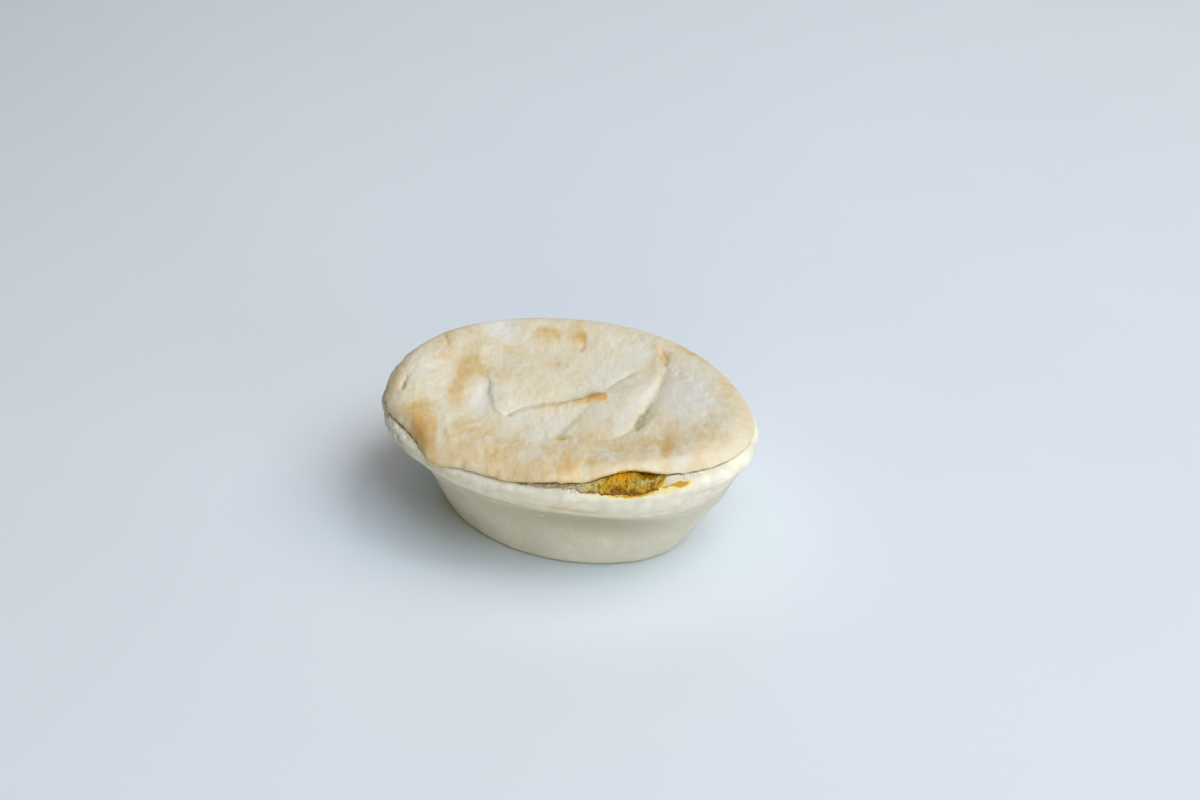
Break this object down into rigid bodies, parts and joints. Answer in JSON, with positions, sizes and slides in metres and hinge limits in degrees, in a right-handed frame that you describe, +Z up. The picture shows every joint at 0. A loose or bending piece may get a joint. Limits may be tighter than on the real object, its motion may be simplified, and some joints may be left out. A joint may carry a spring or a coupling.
{
  "type": "chicken pie",
  "caption": "Small oval chicken pie: a deep pale pastry case with a flared rim, its filling, and a folded pastry lid lifted along one stretch.",
  "frame": {"origin": "under the middle of the pie's box, on the surface it rests on", "axes": "+X along the pie's long side, +Y across it, +Z up"},
  "size_m": [0.1187, 0.0966, 0.0415],
  "materials": {
    "case_pastry": "matt, floury, hardly browned shortcrust pastry",
    "filling": "moist yellow-brown gravy with pale chicken in it",
    "lid_pastry": "smooth baked pastry, unevenly golden, matt with a slight satin"
  },
  "bodies": {
    "root": {"crust_case": "case_pastry", "filling": "filling", "crust_lid": "lid_pastry"}
  },
  "joints": []
}
